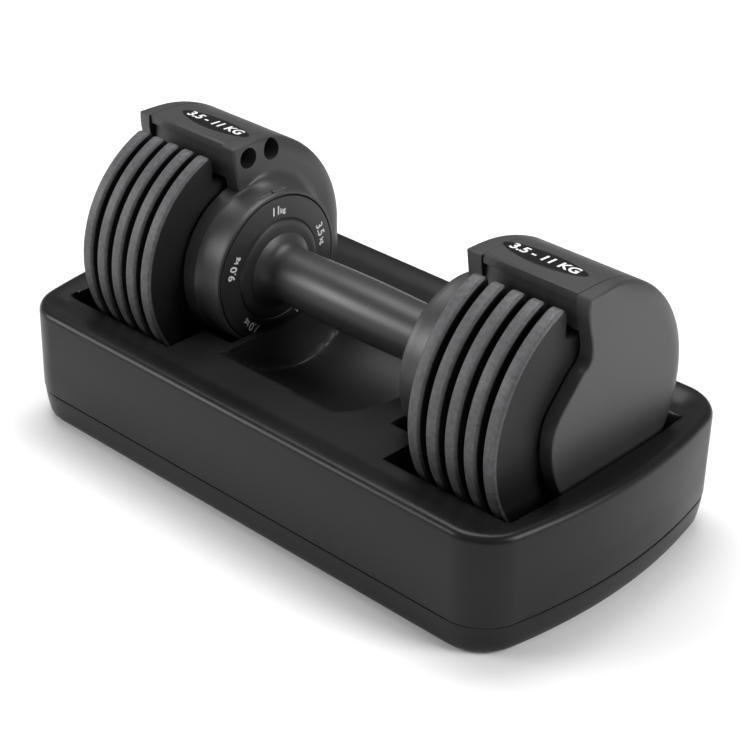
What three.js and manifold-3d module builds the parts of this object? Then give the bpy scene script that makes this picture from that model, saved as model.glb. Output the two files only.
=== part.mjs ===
// Adjustable dumbbell with five plates a side, resting in its tray.
// Twisting the handle draws two selector rods out of the plates, so that the plates they leave
// stay behind in the tray. Millimetres, +Z up, origin under the middle of the tray, +X along the handle.
import * as THREE from 'three';
import { mergeVertices } from 'three/addons/utils/BufferGeometryUtils.js';
import Module from 'manifold-3d';

const wasm = await Module();
wasm.setup();

// ---- driving dimensions ----
const GAP = 0.3;                 // clearance between touching pieces
const AXIS_Z = 99;               // height of the handle's axis with the dumbbell in its tray

const TRAY_LENGTH = 380;
const TRAY_WIDTH = 201;
const TRAY_HEIGHT = 73;
const TRAY_END_BOW = 15;         // how far each end bows outward
const TRAY_CORNER = 24;          // plan radius of the corners
const TRAY_RIM_ROUND = 4;
const TRAY_SEAM_Z = 19;          // parting line between the shell and the base
const TRAY_BASE_Z = 1;           // underside of the base, the feet stand below it
const TRAY_BASE_TAPER = 3.5;
const TRAY_WALL = 3;

const WELL_RADIUS = 77;          // the wells are round the handle's axis
const WELL_INNER_X = 83.5;
const WELL_OUTER_X = 168.5;
const HUB_WELL_RADIUS = 52;
const HUB_WELL_X = 62;           // a band of deck separates each hub well from the hand trough
const TROUGH_LEFT_X = -55;
const TROUGH_RIGHT_X = 46;
const TROUGH_RADIUS = 74;
const TROUGH_CENTRE_Z = 19;      // above the handle's axis

const PLATE_COUNT = 5;           // on each side
const PLATE_FIRST_X = 98;
const PLATE_THICKNESS = 8;
const PLATE_PITCH = 12.5;
const PLATE_RADIUS = 72.3;
const PLATE_COVERED_RADIUS = 69.6;
const PLATE_BORE_RADIUS = 8.3;
const PLATE_NOTCH_FRONT_Y = -21.5;
const PLATE_NOTCH_BACK_Y = 31;
const PLATE_NOTCH_FLOOR_Z = 50;

const WALL_X = 86;               // inner wall of each head
const WALL_THICKNESS = 10;
const HUB_FLOOR_X = 91;          // floor of the hollow behind the dial
const HOUSING_RADIUS = 73.3;
const SHELL_THICKNESS = 3.4;
const SHELL_FRONT_Y = -17.5;
const SHELL_BACK_ANGLE = -4;
const SEAM_X = 157;              // joint between the housing and the end cap
const CAP_OUTER_X = 165.5;
const HEAD_FACE_RADIUS = 71;     // flat part of both faces of a head, about a point shifted to the front
const HEAD_SHIFT = { y: -8.7, z: -5 };
const BEAM = { front: -13, back: 26, bottom: 54 };
const BOLT_Y = [-5.9, 12.6];
const BOLT_Z = 65;
const BOLT_RADIUS = 2.5;
const BOLT_HEAD_RADIUS = 4.5;
const BOLT_HEAD_X = 116;
const BOLT_WELL_RADIUS = 6.2;

const COLLAR_MOUTH_X = 69;
const COLLAR_RADIUS = 46.5;
const COLLAR_FLARE_RADIUS = 50;
const DIAL_RADIUS = 44;
const DIAL_FACE_X = 66;
const DIAL_BACK_X = 70.5;
const DRUM_END_X = 78;
const DRUM_INNER_RADIUS = 33;
const DRUM_OUTER_RADIUS = 40;
const SETTINGS = 5;
const SETTING_ANGLE = 72;

const ROD_RADIUS = 7.5;
const ROD_INNER_X = 58;
const ROD_TIP_X = 158;
const ROD_TRAVEL = PLATE_PITCH * (PLATE_COUNT - 1);
const FOLLOWER_X = 62;
const FOLLOWER_RADIUS = 1.75;
const CORE_INNER_RADIUS = 8;
const CORE_RADIUS = 11;
const CAM_INNER_RADIUS = 11.4;
const CAM_RADIUS = 14.1;
const GRIP_INNER_RADIUS = 14.5;
const GRIP_RADIUS = 16.5;
const GRIP_SWELL = 1;            // the grip is slightly barrelled in the middle

const LOCK_X = -84;
const LOCK_TIP_Z = -50.6;
const DETENT_Z = 26;

const degrees = (angle) => angle * Math.PI / 180;

// ---- materials ----
const finish = (color, roughness, metalness = 0) =>
  new THREE.MeshStandardMaterial({ color, roughness, metalness });
const trayPlastic = finish(0x202123, 0.42);
const housingPlastic = finish(0x26272a, 0.45);
const plateIron = finish(0x2f3033, 0.62, 0.25);
const gripPlastic = finish(0x2b2c2f, 0.5);
const badgePlastic = finish(0x0c0c0d, 0.3);
const steel = finish(0x8f9296, 0.32, 0.9);
const darkSteel = finish(0x4a4c50, 0.4, 0.8);
const nylon = finish(0xd8d5cc, 0.55);
const footRubber = finish(0x141414, 0.9);

// ---- solids ----
function solidOf(geometry) {
  geometry.deleteAttribute('normal');
  geometry.deleteAttribute('uv');
  const welded = mergeVertices(geometry, 1e-3);
  return new wasm.Manifold(new wasm.Mesh({
    numProp: 3,
    vertProperties: new Float32Array(welded.attributes.position.array),
    triVerts: new Uint32Array(welded.index.array),
  }));
}

function geometryOf(solid) {
  const mesh = solid.getMesh();
  const geometry = new THREE.BufferGeometry();
  geometry.setAttribute('position', new THREE.BufferAttribute(mesh.vertProperties, 3));
  geometry.setIndex(new THREE.BufferAttribute(mesh.triVerts, 1));
  return geometry;
}

// turns a closed profile of [radius, x] points about the X axis
function turned(profile, segments = 48) {
  const points = [...profile, profile[0]].map(([radius, x]) => new THREE.Vector2(radius, x));
  return solidOf(new THREE.LatheGeometry(points, segments).rotateZ(-Math.PI / 2));
}

const rodX = (x0, x1, radius, segments = 32) =>
  solidOf(new THREE.CylinderGeometry(radius, radius, x1 - x0, segments)
    .rotateZ(-Math.PI / 2).translate((x0 + x1) / 2, 0, 0));

const rodXAt = (x0, x1, radius, y, z, segments = 18) =>
  solidOf(new THREE.CylinderGeometry(radius, radius, x1 - x0, segments)
    .rotateZ(-Math.PI / 2).translate((x0 + x1) / 2, y, z));

const rodZAt = (x, y, z0, z1, radius, segments = 12) =>
  solidOf(new THREE.CylinderGeometry(radius, radius, z1 - z0, segments)
    .rotateX(Math.PI / 2).translate(x, y, (z0 + z1) / 2));

const tubeX = (x0, x1, inner, outer, segments = 48) =>
  turned([[inner, x0], [outer, x0], [outer, x1], [inner, x1]], segments);

const block = (x0, x1, y0, y1, z0, z1) =>
  solidOf(new THREE.BoxGeometry(x1 - x0, y1 - y0, z1 - z0)
    .translate((x0 + x1) / 2, (y0 + y1) / 2, (z0 + z1) / 2));

// the axes for a (Y, Z) outline extruded along X
const sectionAxes = new THREE.Matrix4().makeBasis(
  new THREE.Vector3(0, 1, 0), new THREE.Vector3(0, 0, 1), new THREE.Vector3(1, 0, 0));

// drops the doubled points where one curve of an outline meets the next
function cleaned(outline, curveSegments) {
  const points = outline.getPoints(curveSegments);
  const kept = points.filter((point, i) => point.distanceTo(points[(i + 1) % points.length]) > 0.05);
  return new THREE.Shape(kept);
}

function prismX(outline, x0, x1, curveSegments) {
  const geometry = new THREE.ExtrudeGeometry(cleaned(outline, curveSegments), {
    depth: x1 - x0, steps: 1, bevelEnabled: false,
  });
  return solidOf(geometry.applyMatrix4(sectionAxes).translate(x0, 0, 0));
}

// an (X, Y) outline extruded along Z
function prismZ(outline, z0, z1, bevel = {}) {
  const { thickness = 0, size = 0, segments = 1 } = bevel;
  const geometry = new THREE.ExtrudeGeometry(cleaned(outline, 7), {
    depth: z1 - z0 - 2 * thickness, steps: 1,
    bevelEnabled: thickness > 0, bevelThickness: thickness, bevelSize: size, bevelOffset: -size,
    bevelSegments: segments,
  });
  return solidOf(geometry.translate(0, 0, z0 + thickness));
}

const union = (solids) => solids.reduce((sum, solid) => sum.add(solid));
const cut = (body, tools) => tools.reduce((rest, tool) => rest.subtract(tool), body);

// ---- scene graph ----
const dumbbellAndTray = new THREE.Group();
const tray = new THREE.Group();
const dumbbell = new THREE.Group();
dumbbell.position.z = AXIS_Z;
dumbbellAndTray.add(tray, dumbbell);

function place(group, name, solid, material) {
  const mesh = new THREE.Mesh(geometryOf(solid), material);
  mesh.name = name;
  group.add(mesh);
}

function mirroredGeometry(solid) {
  const geometry = geometryOf(solid).scale(-1, 1, 1);
  const index = geometry.index.array;
  for (let i = 0; i < index.length; i += 3) {
    [index[i], index[i + 1]] = [index[i + 1], index[i]];
  }
  return geometry;
}

// the same piece on both heads, made for the right one and mirrored for the left
function placePair(name, solid, material) {
  place(dumbbell, `right_${name}`, solid, material);
  const mesh = new THREE.Mesh(mirroredGeometry(solid), material);
  mesh.name = `left_${name}`;
  dumbbell.add(mesh);
}

// ---- tray ----
// plan outline: straight long sides, bowed ends and round corners, made smaller by inset
function trayOutline(inset) {
  const halfWidth = TRAY_WIDTH / 2 - inset;
  const endX = TRAY_LENGTH / 2 - inset;
  const cornerX = endX - TRAY_END_BOW;
  const bowControlX = 2 * endX - cornerX - 3;
  const corner = TRAY_CORNER - inset;
  const bowY = halfWidth - corner;
  const outline = new THREE.Shape();
  outline.moveTo(cornerX - corner, -halfWidth);
  outline.quadraticCurveTo(cornerX - 2, -halfWidth, cornerX + 3, -bowY);
  outline.quadraticCurveTo(bowControlX, 0, cornerX + 3, bowY);
  outline.quadraticCurveTo(cornerX - 2, halfWidth, cornerX - corner, halfWidth);
  outline.lineTo(-cornerX + corner, halfWidth);
  outline.quadraticCurveTo(-cornerX + 2, halfWidth, -cornerX - 3, bowY);
  outline.quadraticCurveTo(-bowControlX, 0, -cornerX - 3, -bowY);
  outline.quadraticCurveTo(-cornerX + 2, -halfWidth, -cornerX + corner, -halfWidth);
  return outline;
}

// everything that the top of the tray is scooped out by, grown by a wall's thickness for its underside
function scoops(grow) {
  const wells = [-1, 1].map((side) => {
    const ends = [side * (WELL_INNER_X - grow), side * (WELL_OUTER_X + grow)].sort((a, b) => a - b);
    return rodX(ends[0], ends[1], WELL_RADIUS + grow, 44);
  });
  const hubWells = [-1, 1].map((side) => {
    const ends = [side * (HUB_WELL_X - grow), side * (WELL_INNER_X + 1)].sort((a, b) => a - b);
    return rodX(ends[0], ends[1], HUB_WELL_RADIUS + grow, 32);
  });
  const trough = rodXAt(
    TROUGH_LEFT_X - grow, TROUGH_RIGHT_X + grow, TROUGH_RADIUS + grow, 0, TROUGH_CENTRE_Z, 56);
  return union([...wells, ...hubWells, trough]).translate(0, 0, AXIS_Z);
}

const screwSpots = [-1, 1].flatMap((sx) => [-1, 1].map((sy) => [sx * 62, sy * 84]));
const footSpots = [-1, 1].flatMap((sx) => [-1, 1].map((sy) => [sx * 140, sy * 72]));
const SCREW_RADIUS = 2;
const SCREW_HEAD_RADIUS = 4;
const SCREW_HEAD_TOP = 7;
const SCREW_TIP = 34;
const BOSS_RADIUS = 6;
const POST_RADIUS = 3.5;
const FOOT_RADIUS = 9;
const FOOT_RECESS = 2;
const hubWellFloor = AXIS_Z - HUB_WELL_RADIUS;

function makeTrayShell() {
  const outer = prismZ(trayOutline(0), -TRAY_HEIGHT, TRAY_HEIGHT, {
    thickness: TRAY_RIM_ROUND, size: TRAY_RIM_ROUND, segments: 2,
  }).intersect(block(-300, 300, -200, 200, TRAY_SEAM_Z + GAP, TRAY_HEIGHT + 1));
  const core = cut(prismZ(trayOutline(TRAY_WALL), 0, TRAY_HEIGHT - TRAY_WALL), [scoops(TRAY_WALL)]);
  const bosses = screwSpots.map(([x, y]) => rodZAt(x, y, TRAY_SEAM_Z + GAP, TRAY_HEIGHT - 1, BOSS_RADIUS));
  const pilotHoles = screwSpots.map(([x, y]) => rodZAt(x, y, 0, SCREW_TIP + 1, SCREW_RADIUS + GAP));
  const postHole = rodZAt(LOCK_X, 0, hubWellFloor - 20, AXIS_Z, POST_RADIUS + GAP);
  return cut(cut(outer, [core]).add(union(bosses)), [...pilotHoles, scoops(0), postHole]);
}

function makeTrayBase() {
  const outer = prismZ(trayOutline(0), TRAY_BASE_Z, 2 * TRAY_SEAM_Z - TRAY_BASE_Z, {
    thickness: TRAY_SEAM_Z - TRAY_BASE_Z - 1, size: TRAY_BASE_TAPER, segments: 1,
  }).intersect(block(-300, 300, -200, 200, TRAY_BASE_Z, TRAY_SEAM_Z));
  const hollow = prismZ(trayOutline(TRAY_BASE_TAPER + TRAY_WALL), TRAY_BASE_Z + TRAY_WALL, TRAY_SEAM_Z + 5);
  const bosses = screwSpots.map(([x, y]) => rodZAt(x, y, TRAY_BASE_Z + 1, TRAY_SEAM_Z, BOSS_RADIUS));
  const pads = footSpots.map(([x, y]) => rodZAt(x, y, TRAY_BASE_Z + 1, TRAY_BASE_Z + 5, FOOT_RADIUS + 3));
  const headHoles = screwSpots.map(([x, y]) =>
    rodZAt(x, y, 0, SCREW_HEAD_TOP + GAP, SCREW_HEAD_RADIUS + GAP));
  const shaftHoles = screwSpots.map(([x, y]) => rodZAt(x, y, 0, TRAY_SEAM_Z + 1, SCREW_RADIUS + GAP));
  const footRecesses = footSpots.map(([x, y]) =>
    rodZAt(x, y, 0, TRAY_BASE_Z + FOOT_RECESS + GAP, FOOT_RADIUS + GAP, 16));
  return cut(cut(outer, [hollow]).add(union([...bosses, ...pads])),
    [...headHoles, ...shaftHoles, ...footRecesses]);
}

place(tray, 'tray_shell', makeTrayShell(), trayPlastic);
place(tray, 'tray_base', makeTrayBase(), trayPlastic);

footSpots.forEach(([x, y], i) => {
  place(tray, `tray_foot_${i + 1}`, rodZAt(x, y, 0, TRAY_BASE_Z + FOOT_RECESS, FOOT_RADIUS, 16), footRubber);
});

screwSpots.forEach(([x, y], i) => {
  const head = rodZAt(x, y, SCREW_HEAD_TOP - 3, SCREW_HEAD_TOP, SCREW_HEAD_RADIUS);
  const shank = rodZAt(x, y, SCREW_HEAD_TOP - 1, SCREW_TIP, SCREW_RADIUS, 12);
  place(tray, `tray_screw_${i + 1}`, head.add(shank), steel);
});

place(tray, 'lock_release_post',
  rodZAt(LOCK_X, 0, hubWellFloor - TRAY_WALL, AXIS_Z + LOCK_TIP_Z - GAP, POST_RADIUS), nylon);

// comb that keeps unselected plates upright: a curved sheet with a rib in each gap between plates
const RACK_HALF_ANGLE = 32;
const RACK_RIB_THICKNESS = 2.4;
const RACK_RIB_TOP_RADIUS = 62;

function arcSector(innerRadius, outerRadius, fromAngle, toAngle) {
  const outline = new THREE.Shape();
  outline.absarc(0, 0, outerRadius, degrees(fromAngle), degrees(toAngle), false);
  outline.absarc(0, 0, innerRadius, degrees(toAngle), degrees(fromAngle), true);
  return outline;
}

function makePlateRack() {
  const from = 270 - RACK_HALF_ANGLE;
  const to = 270 + RACK_HALF_ANGLE;
  const sheet = prismX(arcSector(WELL_RADIUS - 2.3, WELL_RADIUS - GAP * 1.5, from, to),
    PLATE_FIRST_X - 1, SEAM_X - 1.5, 4);
  const ribs = [];
  for (let i = 1; i < PLATE_COUNT; i += 1) {
    const middle = PLATE_FIRST_X + i * PLATE_PITCH - (PLATE_PITCH - PLATE_THICKNESS) / 2;
    const rib = prismX(arcSector(RACK_RIB_TOP_RADIUS, WELL_RADIUS - 1.5, from + 2, to - 2),
      middle - RACK_RIB_THICKNESS / 2, middle + RACK_RIB_THICKNESS / 2, 4);
    ribs.push(rib);
  }
  return union([sheet, ...ribs]).translate(0, 0, AXIS_Z);
}

const plateRack = makePlateRack();
place(tray, 'right_plate_rack', plateRack, housingPlastic);
const leftRack = new THREE.Mesh(mirroredGeometry(plateRack), housingPlastic);
leftRack.name = 'left_plate_rack';
tray.add(leftRack);

// ---- weight plates ----
// full round in front and below, a little smaller under the housing's shell, notched for its beam
function plateOutline() {
  const outer = PLATE_RADIUS;
  const inner = PLATE_COVERED_RADIUS;
  const shoulder = 6;
  const frontAngle = Math.acos((PLATE_NOTCH_FRONT_Y - shoulder) / outer);
  const backAngle = Math.acos((PLATE_NOTCH_BACK_Y + 3) / inner);
  const frontTop = Math.sin(frontAngle) * outer;
  const outline = new THREE.Shape();
  outline.moveTo(PLATE_NOTCH_FRONT_Y, PLATE_NOTCH_FLOOR_Z);
  outline.lineTo(PLATE_NOTCH_FRONT_Y, frontTop - 5);
  outline.lineTo(PLATE_NOTCH_FRONT_Y - 2, frontTop - 1);
  outline.absarc(0, 0, outer, frontAngle, Math.PI, false);
  outline.absarc(0, 0, outer, Math.PI, degrees(270), false);
  outline.absarc(0, 0, outer, degrees(270), degrees(352), false);
  outline.absarc(0, 0, inner, degrees(-5), backAngle, false);
  outline.lineTo(PLATE_NOTCH_BACK_Y, PLATE_NOTCH_FLOOR_Z);
  return outline;
}

for (let i = 0; i < PLATE_COUNT; i += 1) {
  const x0 = PLATE_FIRST_X + i * PLATE_PITCH;
  const plate = prismX(plateOutline(), x0, x0 + PLATE_THICKNESS, 6)
    .subtract(rodX(x0 - 1, x0 + PLATE_THICKNESS + 1, PLATE_BORE_RADIUS, 16));
  placePair(`plate_${i + 1}`, plate, plateIron);
}

// ---- head housings ----
function wallOutline() {
  const collar = COLLAR_FLARE_RADIUS;
  const outer = HOUSING_RADIUS;
  const topZ = Math.sqrt(outer ** 2 - SHELL_FRONT_Y ** 2);
  const neck = degrees(105);
  const heel = degrees(300);
  const backEnd = degrees(-25);
  const outline = new THREE.Shape();
  outline.moveTo(SHELL_FRONT_Y, topZ);
  outline.quadraticCurveTo(-13.5, 58, collar * Math.cos(neck), collar * Math.sin(neck));
  outline.absarc(0, 0, collar, neck, heel, false);
  outline.quadraticCurveTo(46, -52, outer * Math.cos(backEnd), outer * Math.sin(backEnd));
  outline.absarc(0, 0, outer, backEnd, Math.acos((SHELL_FRONT_Y + 0.5) / outer), false);
  return outline;
}

// an almond outline in plan, for the badge on top of each head
function almond(middleX, middleY, halfLength, halfWidth) {
  const outline = new THREE.Shape();
  outline.absellipse(middleX, middleY, halfLength, halfWidth, 0, 2 * Math.PI, false, 0);
  return outline;
}

const BADGE_X = (WALL_X + SEAM_X) / 2;
const BADGE_Y = 2;
const BADGE_HALF_LENGTH = 27;
const BADGE_HALF_WIDTH = 8.5;
const BADGE_DEPTH = 1.2;
const HUB_BOSS_X = 82;
const HUB_BOSS_RADIUS = 18;
const CLIP_RADIUS = 13.7;
const CLIP_X = 93;

// a drum along X with a flat face and a round shoulder that is widest towards the back
function roundedDrum(endX, faceX) {
  const depth = 10;
  const towardsEnd = Math.sign(endX - faceX);
  const steps = 3;
  const shoulder = [];
  for (let i = 0; i <= steps; i += 1) {
    const angle = (i / steps) * Math.PI / 2;
    shoulder.push([
      HEAD_FACE_RADIUS + 12.3 * Math.sin(angle), faceX + towardsEnd * depth * (1 - Math.cos(angle)),
    ]);
  }
  const profile = [[0.01, faceX], ...shoulder, [HEAD_FACE_RADIUS + 12.3, endX], [0.01, endX]];
  return turned(towardsEnd > 0 ? profile : profile.reverse(), 48)
    .add(rodX(Math.min(faceX, endX), Math.max(faceX, endX), 1, 8))
    .translate(0, HEAD_SHIFT.y, HEAD_SHIFT.z);
}

function makeHousing() {
  const wall = prismX(wallOutline(), WALL_X, WALL_X + WALL_THICKNESS, 7);
  const collar = turned([
    [DIAL_RADIUS + 0.5, COLLAR_MOUTH_X], [COLLAR_RADIUS - 0.8, COLLAR_MOUTH_X],
    [COLLAR_RADIUS, COLLAR_MOUTH_X + 0.8], [COLLAR_RADIUS, 78], [COLLAR_RADIUS + 1, 83],
    [COLLAR_FLARE_RADIUS - 1, WALL_X + 1], [DIAL_RADIUS + 0.5, WALL_X + 1],
  ], 36);
  const boss = rodX(HUB_BOSS_X, HUB_FLOOR_X + 1, HUB_BOSS_RADIUS);
  const frontAngle = Math.acos(SHELL_FRONT_Y / HOUSING_RADIUS) * 180 / Math.PI;
  const shell = prismX(
    arcSector(HOUSING_RADIUS - SHELL_THICKNESS, HOUSING_RADIUS, SHELL_BACK_ANGLE, frontAngle),
    WALL_X, SEAM_X - GAP, 9);
  const beam = block(WALL_X + 4, SEAM_X - GAP, BEAM.front, BEAM.back, BEAM.bottom, HOUSING_RADIUS)
    .intersect(rodX(WALL_X, SEAM_X, HOUSING_RADIUS - SHELL_THICKNESS / 2));
  const boltWells = BOLT_Y.map((y) =>
    rodXAt(WALL_X - 1, BOLT_HEAD_X + 5 + GAP, BOLT_WELL_RADIUS, y, BOLT_Z, 16));
  const boltBores = BOLT_Y.map((y) => rodXAt(WALL_X, SEAM_X + 1, BOLT_RADIUS + GAP, y, BOLT_Z, 12));
  const badgeOutline = almond(BADGE_X, BADGE_Y, BADGE_HALF_LENGTH + GAP, BADGE_HALF_WIDTH + GAP);
  const badgeRecess = prismZ(badgeOutline, 60, 90)
    .subtract(rodX(0, 200, HOUSING_RADIUS - BADGE_DEPTH, 48));
  const coreBore = rodX(HUB_BOSS_X - 1, 100, CORE_RADIUS + GAP);
  const clipSeat = rodX(CLIP_X, 100, CLIP_RADIUS + GAP);
  const hollow = tubeX(WALL_X - 1, HUB_FLOOR_X, HUB_BOSS_RADIUS, DIAL_RADIUS + 0.5, 36);
  const head = union([wall, shell, beam]).intersect(roundedDrum(SEAM_X + 5, WALL_X));
  return cut(union([cut(head, [hollow]), collar, boss]),
    [...boltWells, ...boltBores, badgeRecess, coreBore, clipSeat]);
}

const housing = makeHousing();
const pointerRecess = block(70.5, 77, -7, 7, COLLAR_RADIUS - 1, COLLAR_RADIUS + 5);
const lockHole = rodZAt(-LOCK_X, 0, LOCK_TIP_Z - 5, LOCK_TIP_Z + 15, 2.2 + GAP);
const detentGuide = rodXAt(74.5, HUB_FLOOR_X + 1, 5, 0, DETENT_Z)
  .subtract(rodXAt(70, HUB_FLOOR_X - GAP, 2.9, 0, DETENT_Z, 16));

place(dumbbell, 'right_housing', housing.add(detentGuide), housingPlastic);
const leftHousing = new THREE.Mesh(mirroredGeometry(cut(housing, [pointerRecess, lockHole])), housingPlastic);
leftHousing.name = 'left_housing';
dumbbell.add(leftHousing);

// the end cap's front edge is S-shaped and leaves the outermost plate in view
function capOutline() {
  const outer = HOUSING_RADIUS + 6;
  const frontEdge = [
    [-15.7, 58], [-12.4, 47], [-11.6, 40], [-13.5, 35], [-19, 30.5], [-27, 22], [-35, 13], [-38.6, 0],
    [-37.2, -14], [-31.5, -28.5], [-22.5, -43], [-9, -57], [8, -70],
  ].map(([y, z]) => new THREE.Vector2(y, z));
  const outline = new THREE.Shape();
  outline.moveTo(SHELL_FRONT_Y, outer);
  outline.lineTo(SHELL_FRONT_Y, 70);
  outline.splineThru(frontEdge);
  outline.lineTo(outer, -outer);
  outline.lineTo(outer, outer);
  return outline;
}

function makeEndCap() {
  const body = rodX(SEAM_X, CAP_OUTER_X, HOUSING_RADIUS, 60)
    .intersect(roundedDrum(SEAM_X - 5, CAP_OUTER_X))
    .intersect(prismX(capOutline(), SEAM_X - 5, CAP_OUTER_X + 5, 3));
  const boltHoles = BOLT_Y.map((y) =>
    rodXAt(SEAM_X - 1, CAP_OUTER_X - 1.5, BOLT_RADIUS + GAP, y, BOLT_Z, 12));
  const bushSeat = rodX(SEAM_X - 1, CAP_OUTER_X - 2, 11 + GAP);
  return cut(body, [...boltHoles, bushSeat]);
}

placePair('end_cap', makeEndCap(), housingPlastic);
placePair('rod_bush',
  rodX(SEAM_X - 0.7, CAP_OUTER_X - 2 - GAP, 11, 24)
    .subtract(rodX(SEAM_X - 5, ROD_TIP_X + 1, ROD_RADIUS + 0.5, 24)), nylon);

placePair('badge',
  prismZ(almond(BADGE_X, BADGE_Y, BADGE_HALF_LENGTH, BADGE_HALF_WIDTH), 60, 90)
    .intersect(tubeX(80, 170, HOUSING_RADIUS - BADGE_DEPTH + GAP, HOUSING_RADIUS + 0.3, 48)), badgePlastic);

['front', 'back'].forEach((row, i) => {
  const head = rodXAt(BOLT_HEAD_X, BOLT_HEAD_X + 5, BOLT_HEAD_RADIUS, BOLT_Y[i], BOLT_Z, 14);
  const socket = rodXAt(BOLT_HEAD_X - 1, BOLT_HEAD_X + 2.5, 2.3, BOLT_Y[i], BOLT_Z, 6);
  const shank = rodXAt(BOLT_HEAD_X + 4, CAP_OUTER_X - 2, BOLT_RADIUS, BOLT_Y[i], BOLT_Z, 12);
  placePair(`tie_bolt_${row}`, head.add(shank).subtract(socket), steel);
});

// ---- core tube and its fastenings, which hold the two heads together ----
const SLOT_HALF_WIDTH = 2.4;
const coreEnd = CLIP_X + 2.6;
const coreSlots = [-1, 1].map((side) => {
  const ends = [side * (FOLLOWER_X - ROD_TRAVEL - 4), side * (FOLLOWER_X + 4)].sort((a, b) => a - b);
  return block(ends[0], ends[1], -SLOT_HALF_WIDTH, SLOT_HALF_WIDTH, 0, CORE_RADIUS + 2);
});
place(dumbbell, 'core_tube',
  cut(tubeX(-coreEnd, coreEnd, CORE_INNER_RADIUS, CORE_RADIUS, 36), coreSlots), steel);
placePair('core_clip', tubeX(CLIP_X + GAP, CLIP_X + 2.2, CORE_RADIUS + GAP, CLIP_RADIUS, 32), darkSteel);
const nutSection = (inner, outer) => cut(
  rodX(DRUM_END_X + 0.3, HUB_BOSS_X - GAP, outer, 6), [rodX(70, 100, inner, 32)]);
placePair('core_nut', nutSection(CORE_RADIUS + GAP, HUB_BOSS_RADIUS), darkSteel);

// ---- handle: grip, cam sleeves and the two dials turn together ----
function makeGrip() {
  const steps = 6;
  const halfLength = DIAL_FACE_X - GAP;
  const outer = [];
  for (let i = 0; i <= steps; i += 1) {
    const x = -halfLength + (2 * halfLength * i) / steps;
    const swell = GRIP_SWELL * Math.cos((Math.PI / 2) * (x / halfLength)) ** 2;
    outer.push([GRIP_RADIUS + swell, x]);
  }
  return turned([[GRIP_INNER_RADIUS, -halfLength], ...outer, [GRIP_INNER_RADIUS, halfLength]], 32);
}
place(dumbbell, 'handle_grip', makeGrip(), gripPlastic);

// helical slot: at each twist its crossing with the core tube's straight slot sets the rod's place
function makeCamSleeve() {
  const sleeve = tubeX(4, DRUM_END_X - 2, CAM_INNER_RADIUS, CAM_RADIUS, 32);
  const steps = 20;
  const twist = SETTING_ANGLE * (SETTINGS - 1);
  const pitchAngle = Math.atan2(degrees(twist) * CAM_RADIUS, ROD_TRAVEL);
  const cutters = [];
  for (let i = 0; i <= steps; i += 1) {
    const part = i / steps;
    const cutter = new THREE.BoxGeometry(5.2, 4.6, 8)
      .rotateZ(pitchAngle).translate(0, 0, CAM_RADIUS - 1)
      .rotateX(degrees(part * twist)).translate(FOLLOWER_X - part * ROD_TRAVEL, 0, 0);
    cutters.push(solidOf(cutter));
  }
  return cut(sleeve, cutters);
}
placePair('cam_sleeve', makeCamSleeve(), nylon);

function makeDial() {
  const disc = turned([
    [CAM_RADIUS + GAP, DIAL_FACE_X], [30, DIAL_FACE_X], [30.6, DIAL_FACE_X + 1.2],
    [DIAL_RADIUS - 1, DIAL_FACE_X + 2.2], [DIAL_RADIUS, DIAL_FACE_X + 3.2],
    [DIAL_RADIUS, DIAL_BACK_X], [CAM_RADIUS + GAP, DIAL_BACK_X],
  ], 36);
  const drum = tubeX(DIAL_BACK_X - 1, DRUM_END_X, DRUM_INNER_RADIUS, DRUM_OUTER_RADIUS, 24);
  const hub = tubeX(DIAL_BACK_X - 1, DRUM_END_X - 2, CAM_RADIUS + GAP, 19, 16);
  const notches = [];
  for (let i = 0; i < SETTINGS; i += 1) {
    const notch = new THREE.BoxGeometry(DRUM_END_X - 73, 5.4, 8)
      .translate((DRUM_END_X + 73) / 2 + 0.5, 0, -DRUM_INNER_RADIUS)
      .rotateX(degrees(i * SETTING_ANGLE));
    notches.push(solidOf(notch));
  }
  return cut(union([disc, drum, hub]), notches);
}
placePair('dial', makeDial(), housingPlastic);

// ---- selector rods, which carry the plates ----
const rodTip = turned([
  [0.01, ROD_INNER_X], [ROD_RADIUS, ROD_INNER_X], [ROD_RADIUS, ROD_TIP_X - 2],
  [ROD_RADIUS - 2, ROD_TIP_X], [0.01, ROD_TIP_X],
], 24).add(rodX(ROD_INNER_X, ROD_TIP_X, 1, 8));
placePair('selector_rod',
  rodTip.subtract(rodZAt(FOLLOWER_X, 0, -5 - GAP, 20, FOLLOWER_RADIUS + GAP, 12)), steel);
placePair('follower_pin', rodZAt(FOLLOWER_X, 0, -5, CAM_RADIUS - GAP, FOLLOWER_RADIUS, 12), darkSteel);

// ---- lock and detent ----
// the lock pin's tooth drops into a notch of the left dial's drum when the post no longer holds it up
const LOCK_TOOTH_TOP = -27.5;
const lockShaft = rodZAt(LOCK_X, 0, LOCK_TIP_Z, LOCK_TOOTH_TOP, 2.2, 16);
const lockTooth = block(LOCK_X, -74.5, -2, 2, LOCK_TOOTH_TOP - 4, LOCK_TOOTH_TOP);
place(dumbbell, 'lock_pin', lockShaft.add(lockTooth), darkSteel);

// round-wire compression spring along Z; the lock's one sits on the tooth and pushes it down
class Helix extends THREE.Curve {
  constructor(radius, height, turns) {
    super();
    Object.assign(this, { radius, height, turns });
  }

  getPoint(t, target = new THREE.Vector3()) {
    const angle = t * this.turns * 2 * Math.PI;
    return target.set(this.radius * Math.cos(angle), this.radius * Math.sin(angle), this.height * t);
  }
}

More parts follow.
